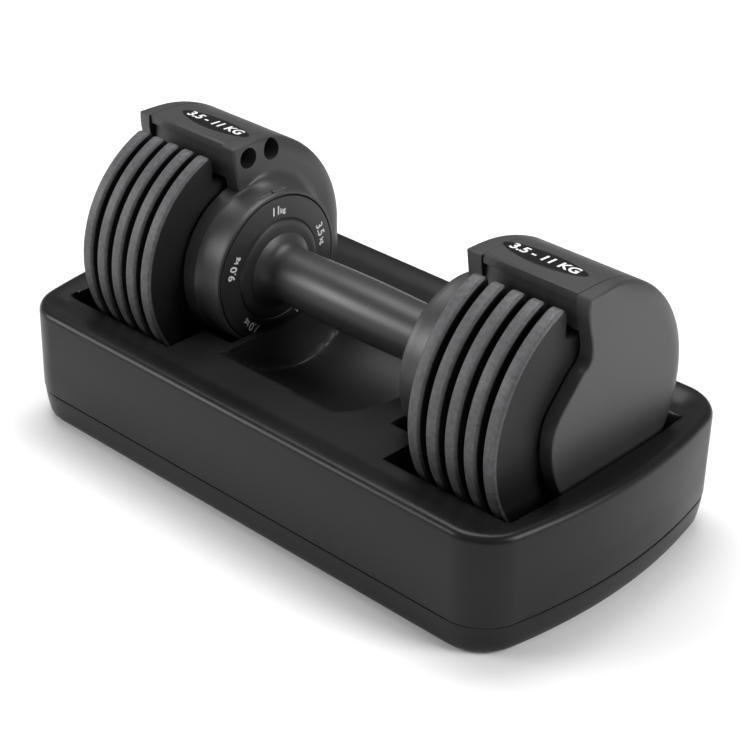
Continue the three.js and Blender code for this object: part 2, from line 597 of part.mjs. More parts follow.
function makeSpring(radius, height, turns, wire) {
  const section = new THREE.Shape();
  section.absarc(0, 0, wire, 0, 2 * Math.PI, false);
  return solidOf(new THREE.ExtrudeGeometry(section, {
    curveSegments: 3, steps: turns * 8, bevelEnabled: false, extrudePath: new Helix(radius, height, turns),
  }));
}
place(dumbbell, 'lock_spring',
  makeSpring(2.2, 7.8, 4, 0.45).translate(LOCK_X, 0, LOCK_TOOTH_TOP + 0.6), steel);

const detentSpring = makeSpring(2, 14, 5, 0.4);
const sprung = geometryOf(detentSpring).rotateY(Math.PI / 2).translate(76, 0, DETENT_Z);
const detentSpringMesh = new THREE.Mesh(sprung, steel);
detentSpringMesh.name = 'detent_spring';
dumbbell.add(detentSpringMesh);
place(dumbbell, 'detent_ball',
  solidOf(new THREE.SphereGeometry(2.4, 12, 8)).translate(DIAL_BACK_X + 2.4 + GAP, 0, DETENT_Z), steel);

export default dumbbellAndTray;
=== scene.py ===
from math import acos, atan2, cos, degrees, hypot, pi, radians, sin, sqrt

import bmesh
import bpy
from mathutils import Matrix, Vector


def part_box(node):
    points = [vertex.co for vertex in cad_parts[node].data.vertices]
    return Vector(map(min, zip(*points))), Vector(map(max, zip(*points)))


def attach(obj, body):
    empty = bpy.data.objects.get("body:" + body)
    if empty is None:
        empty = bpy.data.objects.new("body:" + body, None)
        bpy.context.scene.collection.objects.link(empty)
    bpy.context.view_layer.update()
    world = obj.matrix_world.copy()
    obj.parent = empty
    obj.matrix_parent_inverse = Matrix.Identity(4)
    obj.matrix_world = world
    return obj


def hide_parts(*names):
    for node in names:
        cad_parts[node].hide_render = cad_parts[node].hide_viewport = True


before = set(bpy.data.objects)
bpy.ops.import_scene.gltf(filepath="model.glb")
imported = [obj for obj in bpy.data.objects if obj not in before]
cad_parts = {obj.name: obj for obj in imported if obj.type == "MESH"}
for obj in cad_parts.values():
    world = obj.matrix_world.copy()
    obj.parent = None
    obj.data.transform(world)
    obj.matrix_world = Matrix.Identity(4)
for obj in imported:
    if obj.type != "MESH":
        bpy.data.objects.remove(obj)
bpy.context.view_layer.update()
MM = 0.001


# ---- Camera ----
# A long lens looks down from the front right, turned a little, so that both heads and the
# tray's near corner are in view.
VIEW_AZIMUTH = radians(42.54)
VIEW_ELEVATION = radians(29.78)
VIEW_ROLL = radians(1.48)
VIEW_DISTANCE = 1.14114
VIEW_SHIFT_RIGHT = 0.00834
VIEW_SHIFT_UP = 0.04877
LENS_MM = 94.36

back = Vector((sin(VIEW_AZIMUTH) * cos(VIEW_ELEVATION), -cos(VIEW_AZIMUTH) * cos(VIEW_ELEVATION),
               sin(VIEW_ELEVATION)))
level_right = Vector((cos(VIEW_AZIMUTH), sin(VIEW_AZIMUTH), 0))
level_up = back.cross(level_right)
right = level_right * cos(VIEW_ROLL) + level_up * sin(VIEW_ROLL)
up = level_up * cos(VIEW_ROLL) - level_right * sin(VIEW_ROLL)
camera = bpy.data.objects.new("camera", bpy.data.cameras.new("camera"))
camera.data.lens = LENS_MM
camera.data.sensor_width = 36
camera.data.clip_end = 20
camera.matrix_world = Matrix((right, up, back)).transposed().to_4x4()
camera.location = right * VIEW_SHIFT_RIGHT + up * VIEW_SHIFT_UP + back * VIEW_DISTANCE
bpy.context.scene.collection.objects.link(camera)
bpy.context.scene.camera = camera


# ---- Studio ----
# A white floor under a pale room, one broad softbox overhead behind the object, and two weaker
# ones from the right and from the front left.
def area_light(name, place, size, watts, aim=(0, 0, 0.08)):
    light = bpy.data.lights.new(name, "AREA")
    light.shape = "RECTANGLE"
    light.size, light.size_y = size
    light.energy = watts
    lamp = bpy.data.objects.new(name, light)
    lamp.location = place
    lamp.rotation_mode = "QUATERNION"
    lamp.rotation_quaternion = (Vector(place) - Vector(aim)).to_track_quat("Z", "Y")
    bpy.context.scene.collection.objects.link(lamp)


def studio():
    world = bpy.data.worlds.new("pale_room")
    world.use_nodes = True
    world.node_tree.nodes["Background"].inputs["Color"].default_value = (1, 1, 1, 1)
    world.node_tree.nodes["Background"].inputs["Strength"].default_value = 0.22
    bpy.context.scene.world = world
    area_light("softbox_top", (-0.5, 0.4, 1.9), (1.5, 1.1), 34)
    area_light("softbox_right", (1.6, 0.5, 1.0), (0.8, 1.0), 24)
    area_light("softbox_front", (-1.5, -1.5, 0.9), (1.2, 0.8), 30)
    floor_mesh = bmesh.new()
    bmesh.ops.create_grid(floor_mesh, x_segments=1, y_segments=1, size=6)
    floor = new_object("floor", floor_mesh, floor_material())


def floor_material():
    material = bpy.data.materials.new("pale_floor")
    material.use_nodes = True
    shader = material.node_tree.nodes["Principled BSDF"]
    shader.inputs["Base Color"].default_value = (0.93, 0.93, 0.93, 1)
    shader.inputs["Roughness"].default_value = 0.9
    shader.inputs["Specular IOR Level"].default_value = 0.1
    return material


def new_object(name, mesh_data, material, smooth=True):
    """Writes the bmesh into a new mesh object at the origin."""
    mesh = bpy.data.meshes.new(name)
    mesh_data.to_mesh(mesh)
    mesh_data.free()
    mesh.materials.append(material)
    for polygon in mesh.polygons:
        polygon.use_smooth = smooth
    mesh.set_sharp_from_angle(angle=radians(34))
    piece = bpy.data.objects.new(name, mesh)
    bpy.context.scene.collection.objects.link(piece)
    return piece


studio()
bpy.context.scene.view_settings.view_transform = "Standard"


# ---- Shared finishes ----
# Moulded plastic has a fine spark-eroded grain and faint cloudiness.
def node_group(name, inputs, outputs):
    """An empty shader node group with float inputs {name: default} and outputs {name: kind}."""
    group = bpy.data.node_groups.new(name, "ShaderNodeTree")
    for label, default in inputs.items():
        socket = group.interface.new_socket(label, in_out="INPUT", socket_type="NodeSocketFloat")
        socket.default_value = default
    for label, kind in outputs.items():
        group.interface.new_socket(label, in_out="OUTPUT", socket_type=kind)
    return group, group.nodes.new("NodeGroupInput"), group.nodes.new("NodeGroupOutput")


def make_surface_grain():
    """Height and cloud masks: a fine grain and broad cloudiness."""
    group, source, result = node_group(
        "surface_grain", {"Grain Scale": 900, "Cloud Scale": 14},
        {"Grain": "NodeSocketFloat", "Cloud": "NodeSocketFloat"})
    links = group.links.new
    place = group.nodes.new("ShaderNodeTexCoord")
    grain = group.nodes.new("ShaderNodeTexNoise")
    grain.inputs["Detail"].default_value = 3
    grain.inputs["Roughness"].default_value = 0.6
    cloud = group.nodes.new("ShaderNodeTexNoise")
    cloud.inputs["Detail"].default_value = 4
    links(place.outputs["Object"], grain.inputs["Vector"])
    links(place.outputs["Object"], cloud.inputs["Vector"])
    links(source.outputs["Grain Scale"], grain.inputs["Scale"])
    links(source.outputs["Cloud Scale"], cloud.inputs["Scale"])
    links(grain.outputs["Fac"], result.inputs["Grain"])
    links(cloud.outputs["Fac"], result.inputs["Cloud"])
    return group


surface_grain = make_surface_grain()


def blended(tree, factor, low, high):
    """A colour that runs from low to high with factor."""
    mix = tree.nodes.new("ShaderNodeMix")
    mix.data_type = "RGBA"
    mix.inputs["A"].default_value = (*low, 1)
    mix.inputs["B"].default_value = (*high, 1)
    tree.links.new(factor, mix.inputs["Factor"])
    return mix.outputs["Result"]


def ranged(tree, value, low, high, from_low=0.3, from_high=0.7):
    """Maps a value, such as a noise, to low..high."""
    span = tree.nodes.new("ShaderNodeMapRange")
    span.inputs["From Min"].default_value = from_low
    span.inputs["From Max"].default_value = from_high
    span.inputs["To Min"].default_value = low
    span.inputs["To Max"].default_value = high
    tree.links.new(value, span.inputs["Value"])
    return span.outputs["Result"]


def bumped(tree, height, strength, distance):
    bump = tree.nodes.new("ShaderNodeBump")
    bump.inputs["Strength"].default_value = strength
    bump.inputs["Distance"].default_value = distance
    tree.links.new(height, bump.inputs["Height"])
    return bump.outputs["Normal"]


def moulded_plastic(name, dark, light, rough, grain_scale=900, bump_strength=0.25, bump_depth=0.00012):
    """Satin plastic: its colour clouds from dark to light and its roughness from rough[0] to rough[1]."""
    material = bpy.data.materials.new(name)
    material.use_nodes = True
    tree = material.node_tree
    shader = tree.nodes["Principled BSDF"]
    texture = tree.nodes.new("ShaderNodeGroup")
    texture.node_tree = surface_grain
    texture.inputs["Grain Scale"].default_value = grain_scale
    clouds = ranged(tree, texture.outputs["Cloud"], 0, 1)
    tree.links.new(blended(tree, clouds, dark, light), shader.inputs["Base Color"])
    tree.links.new(ranged(tree, texture.outputs["Cloud"], *rough), shader.inputs["Roughness"])
    tree.links.new(bumped(tree, texture.outputs["Grain"], bump_strength, bump_depth), shader.inputs["Normal"])
    shader.inputs["IOR"].default_value = 1.49
    return material


# ---- Tray ----
# The upper moulding of the tray: glossy-satin black plastic, one shot, with a rounded rim, wells for
# the two heads and a hand trough between them. Its ends bow outwards in plan.
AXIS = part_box("core_tube")
AXIS_Z = (AXIS[0].z + AXIS[1].z) / 2
shell_low, shell_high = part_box("tray_shell")
TRAY_TOP = shell_high.z
TRAY_SEAM = shell_low.z
TRAY_HALF_LENGTH = shell_high.x
TRAY_HALF_WIDTH = shell_high.y
TRAY_BOW = 15 * MM
TRAY_CORNER = 22 * MM
RIM_ROUND = 4.5 * MM
DECK_DROP = 3.5 * MM
DECK_SLOPE_WIDTH = 16 * MM
WELL_RADIUS = 77 * MM
WELL_INNER = 83.5 * MM
WELL_OUTER = 168.5 * MM
WALL_DRAFT = 1.2 * MM
WALL_STEEPNESS = 45
HUB_WELL_RADIUS = 52 * MM
HUB_WELL_START = 62 * MM
TROUGH_RADIUS = 74 * MM
TROUGH_CENTRE_Z = AXIS_Z + 19 * MM
TROUGH_WALL_X = -57 * MM
TROUGH_WALL_SLOPE = 3.6
TROUGH_RISE_X = 26 * MM


def grow(mesh_data, ring, places):
    """Extrudes a closed ring of vertices once and moves the new ring to places, in the same order."""
    edges = [mesh_data.edges.get((ring[i - 1], ring[i])) for i in range(len(ring))]
    made = bmesh.ops.extrude_edge_only(mesh_data, edges=edges)["geom"]
    fresh = {v for v in made if isinstance(v, bmesh.types.BMVert)}
    new_ring = []
    for old, place in zip(ring, places):
        vertex = next(e.other_vert(old) for e in old.link_edges if e.other_vert(old) in fresh)
        vertex.co = place
        new_ring.append(vertex)
    return new_ring


def tray_edge_distance(x, y):
    """How far (x, y) lies inside the tray's outline, whose corners are round and ends bowed."""
    bow = TRAY_BOW * (1 - (y / TRAY_HALF_WIDTH) ** 2)
    end = TRAY_HALF_LENGTH - TRAY_BOW + bow - abs(x)
    side = TRAY_HALF_WIDTH - abs(y)
    if end < TRAY_CORNER and side < TRAY_CORNER:
        return TRAY_CORNER - hypot(TRAY_CORNER - end, TRAY_CORNER - side)
    return min(end, side)


def on_tray_outline(angle, inset=0):
    """The point in that direction from the middle that lies inset within the outline, found by halving."""
    low, high = 0.0, TRAY_HALF_LENGTH + TRAY_HALF_WIDTH
    for _ in range(40):
        middle = (low + high) / 2
        if tray_edge_distance(middle * cos(angle), middle * sin(angle)) > inset:
            low = middle
        else:
            high = middle
    return low * cos(angle), low * sin(angle)


def soft_min(a, b, width):
    """The smaller of two heights, with a round of that width where they cross."""
    share = max(width - abs(a - b), 0) / width
    return min(a, b) - share * share * width / 4


def scoop_floor(x, y, start, end, radius):
    """Height of a round scoop about the handle's axis, whose drafted end walls stand almost upright."""
    floor = AXIS_Z - sqrt(max(radius * radius - y * y, 0))
    inwards = min(x - start, end - x)
    return max(floor, TRAY_TOP - DECK_DROP - inwards * WALL_STEEPNESS)


def trough_floor(x, y):
    """The hand trough: a shallow round floor, a steep wall at its left end and a soft rise at its right."""
    floor = TROUGH_CENTRE_Z - sqrt(max(TROUGH_RADIUS ** 2 - y * y, 0))
    wall = TRAY_TOP - DECK_DROP - (x - TROUGH_WALL_X) * TROUGH_WALL_SLOPE
    rise = 25 * MM * (max(x - TROUGH_RISE_X, 0) / (20 * MM)) ** 2
    return rise - soft_min(-floor, -wall, 3 * MM)


def tray_height(x, y):
    """The tray's top surface: a rim that slopes to the deck, less the wells, hub hollows and trough."""
    inside = min(max(tray_edge_distance(x, y) - RIM_ROUND, 0) / DECK_SLOPE_WIDTH, 1)
    deck = TRAY_TOP - DECK_DROP * inside * inside * (3 - 2 * inside)
    side = -1 if x < 0 else 1
    well = scoop_floor(side * x, y, WELL_INNER, WELL_OUTER, WELL_RADIUS)
    hub = scoop_floor(side * x, y, HUB_WELL_START, WELL_OUTER, HUB_WELL_RADIUS)
    height = soft_min(deck, hub, 3 * MM)
    height = soft_min(height, trough_floor(x, y), 1.5 * MM if x < 0 else 4 * MM)
    return soft_min(height, well, 5 * MM)


def column_places(columns, half_length):
    """Places of the mesh's columns along X: even, but with one on each end wall's top and one on its foot."""
    wall_places = [TROUGH_WALL_X]
    for top, inwards in ((WELL_INNER, 1), (WELL_OUTER, -1), (HUB_WELL_START, 1)):
        foot = top + inwards * WALL_DRAFT
        wall_places += [top, foot, -top, -foot]
    places = [half_length * (2 * i / columns - 1) for i in range(columns + 1)]
    for place in wall_places:
        nearest = min(range(columns + 1), key=lambda i: abs(places[i] - place))
        places[nearest] = place
    return places


def make_tray_shell():
    columns, rows = 380, 180
    data = bmesh.new()
    bmesh.ops.create_grid(data, x_segments=columns, y_segments=rows, size=1)
    data.verts.ensure_lookup_table()
    inner_length = TRAY_HALF_LENGTH - RIM_ROUND
    inner_width = TRAY_HALF_WIDTH - RIM_ROUND
    column_x = column_places(columns, inner_length)
    for vertex in data.verts:
        x = column_x[round((vertex.co.x + 1) / 2 * columns)]
        y = vertex.co.y * inner_width
        reach = max(abs(vertex.co.x), abs(vertex.co.y))
        if reach > 0:
            edge_x, edge_y = x / reach, y / reach
            border_point = on_tray_outline(atan2(edge_y, edge_x), RIM_ROUND)
            squeeze = hypot(*border_point) / hypot(edge_x, edge_y)
            cornered = min(abs(vertex.co.x), abs(vertex.co.y)) / reach
            blend = reach ** (40 - 33 * cornered * cornered)
            x, y = x * (1 - blend + blend * squeeze), y * (1 - blend + blend * squeeze)
        vertex.co = (x, y, tray_height(x, y))
    border = [e for e in data.edges if e.is_boundary]
    ring = [border[0].verts[0]]
    step = border[0]
    while True:
        following = step.other_vert(ring[-1])
        if following is ring[0]:
            break
        ring.append(following)
        step = next(e for e in following.link_edges if e.is_boundary and e is not step)
    outward = []
    for i, vertex in enumerate(ring):
        along = ring[(i + 1) % len(ring)].co - ring[i - 1].co
        normal = Vector((along.y, -along.x, 0)).normalized()
        outward.append(normal if normal.dot(vertex.co) > 0 else -normal)
    inner = [v.co.copy() for v in ring]
    steps = 6
    for i in range(1, steps + 1):
        angle = i / steps * pi / 2
        places = [p + n * RIM_ROUND * sin(angle) - Vector((0, 0, RIM_ROUND * (1 - cos(angle))))
                  for p, n in zip(inner, outward)]
        ring = grow(data, ring, places)
    for height in (0.6, 0.25, 0.03, 0):
        z = TRAY_SEAM + (TRAY_TOP - TRAY_SEAM) * height
        inset = RIM_ROUND if height > 0 else RIM_ROUND - 0.4 * MM
        ring = grow(data, ring, [Vector((p.x, p.y, z)) + n * inset for p, n in zip(inner, outward)])
    lip = RIM_ROUND - 3 * MM
    ring = grow(data, ring, [Vector((p.x, p.y, TRAY_SEAM)) + n * lip for p, n in zip(inner, outward)])
    ring = grow(data, ring, [Vector((p.x * 0.9, p.y * 0.85, TRAY_SEAM)) for p in inner])
    data.faces.new(ring)
    bmesh.ops.recalc_face_normals(data, faces=data.faces)
    return data


tray_plastic = moulded_plastic("tray_plastic", (0.0076, 0.0078, 0.0080), (0.0098, 0.0100, 0.0102),
                               (0.30, 0.38))
tray_plastic.node_tree.nodes["Principled BSDF"].inputs["Specular IOR Level"].default_value = 0.22
tray = new_object("tray_moulding", make_tray_shell(), tray_plastic)
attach(tray, "tray")
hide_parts("tray_shell")


# ---- Tray base ----
# The pan that closes the tray from below: the same plastic, its sides drawn in under a soft bend and its
# lower edge rounded. Four screws hold it to the moulding and four rubber feet carry it.
base_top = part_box("tray_base")[1].z
BASE_STEPS = 280
BASE_PROFILE = [(0.5, 0), (0.05, 0.25), (0, 0.6), (0.1, 2.2), (0.35, 4.6), (0.8, 8), (1.4, 11.5), (2.1, 14.4),
                (2.9, 16.2), (3.9, 17.3), (5.4, 17.9), (7.4, 18)]


def ring_of(data, points):
    """A closed ring of vertices through the points, joined by edges."""
    ring = [data.verts.new(p) for p in points]
    for i, vertex in enumerate(ring):
        data.edges.new((ring[i - 1], vertex))
    return ring


def outward_normals(points):
    """Outward directions at the points of a closed outline that runs round the middle in one plane."""
    area = sum((points[i - 1].cross(points[i]) for i in range(len(points))), Vector())
    normals = []
    for i in range(len(points)):
        along = points[(i + 1) % len(points)] - points[i - 1]
        normals.append(along.cross(area).normalized())
    return normals


def make_tray_base():
    data = bmesh.new()
    outline = [Vector((*on_tray_outline(2 * pi * i / BASE_STEPS), 0)) for i in range(BASE_STEPS)]
    normals = outward_normals(outline)
    ring = None
    for inset, drop in BASE_PROFILE:
        z = base_top - drop * MM
        places = [p - n * inset * MM + Vector((0, 0, z)) for p, n in zip(outline, normals)]
        ring = grow(data, ring, places) if ring else ring_of(data, places)
        if drop == 0:
            data.faces.new(ring)
    data.faces.new(ring)
    bmesh.ops.recalc_face_normals(data, faces=data.faces)
    return data


tray_base = new_object("tray_pan", make_tray_base(), tray_plastic)
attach(tray_base, "tray")
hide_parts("tray_base")


def plain_finish(name, colour, rough, metal=0.0, grain_scale=700, bump_strength=0.2):
    """A one-colour finish with fine grain, for small fittings."""
    material = moulded_plastic(name, [c * 0.85 for c in colour], [c * 1.1 for c in colour],
                               rough, grain_scale, bump_strength)
    material.node_tree.nodes["Principled BSDF"].inputs["Metallic"].default_value = metal
    return material


foot_rubber = plain_finish("foot_rubber", (0.018, 0.018, 0.018), (0.8, 0.9), grain_scale=1600)
bright_steel = plain_finish("bright_steel", (0.46, 0.47, 0.48), (0.24, 0.36), metal=1.0, grain_scale=1200)
blackened_steel = plain_finish("blackened_steel", (0.12, 0.125, 0.13), (0.3, 0.45), metal=1.0)
white_nylon = plain_finish("white_nylon", (0.72, 0.71, 0.68), (0.45, 0.55))


def refinish(material, *names):
    """Gives CAD nodes that keep their own shape a better finish."""
    for name in names:
        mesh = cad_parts[name].data
        mesh.materials.clear()
        mesh.materials.append(material)


for number in range(1, 5):
    refinish(foot_rubber, f"tray_foot_{number}")
    refinish(bright_steel, f"tray_screw_{number}")
refinish(tray_plastic, "left_plate_rack", "right_plate_rack")
refinish(white_nylon, "lock_release_post")


# ---- Weight plates ----
# Five cast iron plates a side under hammered grey paint. Each has a chamfered rim, a centre bore for the
# selector rod, and a notch at the top that clears the housing's beam.
PLATE_RADIUS = max(-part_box("right_plate_1")[0].y, AXIS_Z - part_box("right_plate_1")[0].z)
PLATE_COVERED_RADIUS = 69.6 * MM
PLATE_BORE = 8.3 * MM
NOTCH_FRONT = -21.5 * MM
NOTCH_BACK = 31 * MM
NOTCH_FLOOR = 50 * MM
FRONT_SHOULDER = 5 * MM
BACK_SHOULDER = 3 * MM


def arc(centre_y, centre_z, radius, start, end, steps):
    """Points on an arc in the (Y, Z) plane, from the handle's axis, angles in degrees from +Y."""
    angles = [radians(start + (end - start) * i / steps) for i in range(steps + 1)]
    return [(centre_y + radius * cos(a), centre_z + radius * sin(a)) for a in angles]


def plate_outline():
    front_y = NOTCH_FRONT - FRONT_SHOULDER
    front_z = sqrt((PLATE_RADIUS - FRONT_SHOULDER) ** 2 - front_y ** 2)
    back_y = NOTCH_BACK + BACK_SHOULDER
    back_z = sqrt((PLATE_COVERED_RADIUS - BACK_SHOULDER) ** 2 - back_y ** 2)
    front_angle = degrees(atan2(front_z, front_y))
    back_angle = degrees(atan2(back_z, back_y))
    points = arc(front_y, front_z, FRONT_SHOULDER, 0, front_angle, 10)
    points += arc(0, 0, PLATE_RADIUS, front_angle, 352, 150)[1:]
    points += arc(0, 0, PLATE_COVERED_RADIUS, -5, back_angle, 40)
    points += arc(back_y, back_z, BACK_SHOULDER, back_angle, 180, 6)[1:]
    points += arc(NOTCH_BACK - 3 * MM, NOTCH_FLOOR + 3 * MM, 3 * MM, 0, -90, 5)
    points += arc(NOTCH_FRONT + 3 * MM, NOTCH_FLOOR + 3 * MM, 3 * MM, 270, 180, 5)
    return points


def slab(data, outline, x_start, x_end, edge, bore_circles=()):
    """A plate between two X planes with the (Y, Z) outline, its edges eased by the (inset, depth) pairs of
    edge, and a bore through it at each (y, z, radius) of bore_circles."""
    points = [Vector((0, y, z + AXIS_Z)) for y, z in outline]
    flat = [Vector((0, y, z)) for y, z in outline]
    normals = outward_normals(flat)
    stations = [(inset, x_start + depth) for inset, depth in edge]
    stations += [(inset, x_end - depth) for inset, depth in reversed(edge)]
    ring = None
    first = None
    for inset, x in stations:
        places = [p - n * inset + Vector((x, 0, 0)) for p, n in zip(points, normals)]
        ring = grow(data, ring, places) if ring else ring_of(data, places)
        first = first or ring
    bores = []
    for centre_y, centre_z, radius in bore_circles:
        circle = [(x_start, y, z + AXIS_Z) for y, z in arc(centre_y, centre_z, radius, 0, 360, 40)[:-1]]
        mouth = ring_of(data, circle)
        bores.append((mouth, grow(data, mouth, [Vector((x_end, y, z)) for _, y, z in circle])))
    close(data, [first] + [mouth for mouth, _ in bores])
    close(data, [ring] + [far for _, far in bores])


def close(data, rings):
    """Fills the flat face between an outer ring and any holes in it."""
    edges = [data.edges.get((ring[i - 1], ring[i])) for ring in rings for i in range(len(ring))]
    bmesh.ops.triangle_fill(data, edges=edges, use_beauty=True)


PLATE_EDGE = [(1.35 * MM, 0), (1.1 * MM, 0.06 * MM), (0.06 * MM, 1.1 * MM), (0, 1.35 * MM)]


def plate_iron():
    """Hammered paint: soft pits, fine grit, and a paler band on the rim's edge that is partly worn paint and
    partly a painted highlight.
    """
    material = bpy.data.materials.new("plate_iron")
    material.use_nodes = True
    tree = material.node_tree
    shader = tree.nodes["Principled BSDF"]
    texture = tree.nodes.new("ShaderNodeGroup")
    texture.node_tree = surface_grain
    texture.inputs["Grain Scale"].default_value = 420
    texture.inputs["Cloud Scale"].default_value = 30
    centred = tree.nodes.new("ShaderNodeMapping")
    centred.inputs["Location"].default_value = (0, 0, -AXIS_Z)
    centred.inputs["Scale"].default_value = (0, 1, 1)
    place = tree.nodes.new("ShaderNodeTexCoord")
    radius = tree.nodes.new("ShaderNodeVectorMath")
    radius.operation = "LENGTH"
    tree.links.new(place.outputs["Object"], centred.inputs["Vector"])
    tree.links.new(centred.outputs["Vector"], radius.inputs[0])
    # The rim band paints the rim's outer face paler, broken up by the grit: partly worn paint, partly a
    # painted highlight where light catches the rim.
    rim = ranged(tree, radius.outputs["Value"], 0, 1, PLATE_RADIUS - 2.2 * MM, PLATE_RADIUS - 1.2 * MM)
    rim_sheen_and_wear = tree.nodes.new("ShaderNodeMath")
    rim_sheen_and_wear.operation = "MULTIPLY"
    tree.links.new(rim, rim_sheen_and_wear.inputs[0])
    tree.links.new(ranged(tree, texture.outputs["Grain"], 0.55, 1.0), rim_sheen_and_wear.inputs[1])
    tree.links.new(blended(tree, rim_sheen_and_wear.outputs["Value"], (0.007, 0.007, 0.008), (0.105, 0.105, 0.110)),
                   shader.inputs["Base Color"])
    tree.links.new(ranged(tree, texture.outputs["Cloud"], 0.42, 0.56), shader.inputs["Roughness"])
    tree.links.new(bumped(tree, texture.outputs["Grain"], 0.45, 0.0003), shader.inputs["Normal"])
    shader.inputs["Specular IOR Level"].default_value = 0.3
    return material


plate_finish = plate_iron()
for side in ("left", "right"):
    for number in range(1, 6):
        node = f"{side}_plate_{number}"
        low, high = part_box(node)
        plate_data = bmesh.new()
        slab(plate_data, plate_outline(), low.x, high.x, PLATE_EDGE, [(0, 0, PLATE_BORE)])
        bmesh.ops.recalc_face_normals(plate_data, faces=plate_data.faces)
        plate = new_object(f"{node}_casting", plate_data, plate_finish)
        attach(plate, node)
        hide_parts(node)


# ---- Head housings ----
# One satin moulding a side: an inner wall with a flared collar for the dial, and a crowned bridge that runs
# over the plates and down their back. Two deep wells take the tie bolts.
WALL_X = 86 * MM
WALL_END = 96 * MM
HOUSING_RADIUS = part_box("right_end_cap")[1].y
SHELL_THICKNESS = 3.2 * MM
SHELL_FRONT = -17.5 * MM
SHELL_FRONT_ANGLE = degrees(atan2(HOUSING_RADIUS, SHELL_FRONT))
SHELL_BACK_ANGLE = -4
SEAM_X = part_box("right_housing")[1].x
FACE_RADIUS = 61 * MM
MOUTH_X = 69 * MM
COLLAR_RADIUS = 46.5 * MM
LEG_RADIUS = 48.3 * MM
FLARE_RADIUS = 57 * MM
DIAL_RADIUS = 44 * MM
HUB_FLOOR_X = 91 * MM
BOLT_WELLS = [(-5.9 * MM, 65 * MM), (12.6 * MM, 65 * MM)]
BOLT_WELL_RADIUS = 6.2 * MM
BOLT_WELL_END = 121.3 * MM


def eased(low, high, value):
    """0 below low and 1 above high, with a smooth step between."""
    share = min(max((value - low) / (high - low), 0), 1)
    return share * share * (3 - 2 * share)


def curve(start, control, end, steps):
    """Points of a quadratic curve in the (Y, Z) plane; the three points are in millimetres."""
    points = []
    for i in range(steps + 1):
        t = i / steps
        blend = [(1 - t) ** 2 * a + 2 * t * (1 - t) * b + t * t * c for a, b, c in zip(start, control, end)]
        points.append((blend[0] * MM, blend[1] * MM))
    return points


def crown(angle):
    """The head's outer radius at an angle in degrees from +Y: flat on top at the front, drawn in behind."""
    if angle > 90:
        return min(HOUSING_RADIUS / sin(radians(angle)), HOUSING_RADIUS + 2.1 * MM)
    return HOUSING_RADIUS - 1.9 * MM * eased(-95, -30, -angle)


def crown_arc(start, end, steps, inset=0):
    angles = [start + (end - start) * i / steps for i in range(steps + 1)]
    return [((crown(a) - inset) * cos(radians(a)), (crown(a) - inset) * sin(radians(a))) for a in angles]


def wall_outline():
    leg = LEG_RADIUS / MM - 1
    neck = radians(106)
    heel = radians(300)
    top = HOUSING_RADIUS / MM - 0.6
    points = curve((SHELL_FRONT / MM, top), (-15.2, 58), (leg * cos(neck), leg * sin(neck)), 14)[:-1]
    points += arc(0, 0, leg * MM, 106, 300, 90)
    rim = crown_arc(-25, SHELL_FRONT_ANGLE - 0.6, 110)
    points += curve((leg * cos(heel), leg * sin(heel)), (47, -53), (rim[0][0] / MM, rim[0][1] / MM), 16)[1:-1]
    return points + rim


def shoulder_drop(y, z, depth, low_end):
    """How far a head's face falls away at its rim: crisp at the front edge, softly rounded behind."""
    angle = degrees(atan2(z, y))
    share = eased(-98, -58, -angle) * eased(low_end - 25, low_end, angle)
    along = min(max((hypot(y, z) - FACE_RADIUS) / (HOUSING_RADIUS - FACE_RADIUS), 0), 1)
    return depth * share * (1 - sqrt(1 - along * along))


def shouldered_slab(data, outline, middle, face_x, back_x, low_end):
    """A slab between two X planes whose face has a shoulder and whose rim has a small round."""
    flat = [Vector((0, y, z)) for y, z in outline]
    normals = outward_normals(flat)
    towards_back = 1 if back_x > face_x else -1
    depth = abs(back_x - face_x) * 0.92
    ease = 1.1 * MM

    def lifted(p, inset):
        edge = ease - sqrt(ease * ease - (ease - min(inset, ease)) ** 2)
        drop = min(shoulder_drop(p.y, p.z, depth, low_end) + edge, depth)
        return Vector((face_x + towards_back * drop, p.y, p.z + AXIS_Z))

    heart = Vector((0, *middle))
    inner = [p - n * 1.3 * MM for p, n in zip(flat, normals)]
    ring = None
    for step in range(1, 25):
        share = 1 - (1 - step / 24) ** 1.5
        spots = [heart + (p - heart) * share for p in inner]
        places = [lifted(p, ease) for p in spots]
        ring = grow(data, ring, places) if ring else ring_of(data, places)
        if step == 1:
            data.faces.new(ring)
    for inset in (1.0, 0.7, 0.45, 0.25, 0.1, 0.02):
        spots = [p - n * inset * MM for p, n in zip(flat, normals)]
        ring = grow(data, ring, [lifted(p, inset * MM) for p in spots])
    for inset, x in ((0, back_x - towards_back * 0.3 * MM), (0.3, back_x)):
        places = [Vector((x, p.y, p.z + AXIS_Z)) - n * inset * MM for p, n in zip(flat, normals)]
        ring = grow(data, ring, places)
    data.faces.new(ring)


def spun(data, profile, steps=120):
    """Spins a closed (radius, x) profile about the handle's axis."""
    verts = [data.verts.new((x, 0, AXIS_Z + radius)) for radius, x in profile]
    edges = [data.edges.new((verts[i - 1], verts[i])) for i in range(len(verts))]
    bmesh.ops.spin(data, geom=verts + edges, cent=(0, 0, AXIS_Z), axis=(1, 0, 0), angle=2 * pi,
                   steps=steps, use_merge=True, use_duplicate=False)
    bmesh.ops.remove_doubles(data, verts=data.verts, dist=1e-6)


